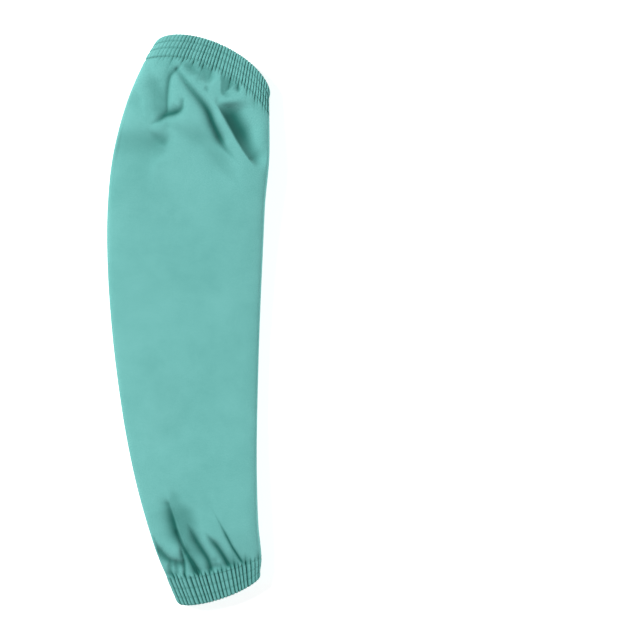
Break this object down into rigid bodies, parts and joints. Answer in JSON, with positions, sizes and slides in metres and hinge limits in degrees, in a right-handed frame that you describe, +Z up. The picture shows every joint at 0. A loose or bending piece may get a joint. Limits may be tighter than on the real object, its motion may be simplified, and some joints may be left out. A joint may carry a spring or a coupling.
{
  "type": "welding sleeve",
  "caption": "Long bowed tube of green flame-resistant cotton that tapers from upper arm to wrist, with a gathered elastic cuff at each end, lying flat.",
  "frame": {"origin": "middle of the footprint on the surface that the sleeve lies on", "axes": "+Y towards the wide upper-arm cuff, +X towards the inner side of the bow, +Z up from the surface"},
  "size_m": [0.1714, 0.6, 0.0357],
  "materials": {
    "twill": "matt cotton twill with a faint sheen",
    "gathered_twill": "matt cotton twill gathered into fine ribs",
    "elastic": "woven flat elastic, off-white"
  },
  "bodies": {
    "root": {"sleeve_body": "twill", "upper_cuff": "gathered_twill", "lower_cuff": "gathered_twill", "upper_elastic": "elastic", "lower_elastic": "elastic"}
  },
  "joints": []
}
